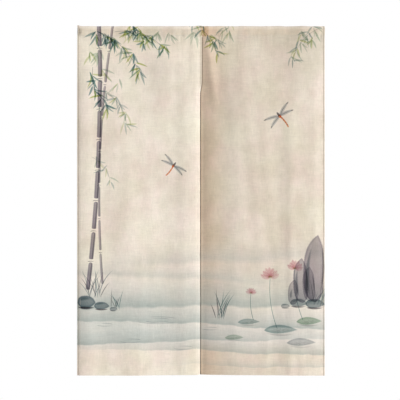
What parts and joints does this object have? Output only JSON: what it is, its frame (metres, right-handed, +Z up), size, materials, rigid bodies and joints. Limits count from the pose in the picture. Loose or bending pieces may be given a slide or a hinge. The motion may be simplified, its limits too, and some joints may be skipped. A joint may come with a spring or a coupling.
{
  "type": "noren curtain",
  "caption": "Split doorway curtain of linen-look cloth: two hemmed lengths that hang from an open rod pocket and lap at a centre slit.",
  "frame": {"origin": "on the rod pocket's axis, at the centre of the curtain's width", "axes": "+Z up, +X to the viewer's right, -Y towards the viewer who faces the front"},
  "size_m": [0.8502, 0.0297, 1.2035],
  "materials": {
    "printed_cloth": "matt linen-look weave with a soft printed wash"
  },
  "bodies": {
    "root": {"left_panel": "printed_cloth", "right_panel": "printed_cloth", "left_rod_pocket": "printed_cloth", "right_rod_pocket": "printed_cloth"}
  },
  "joints": []
}
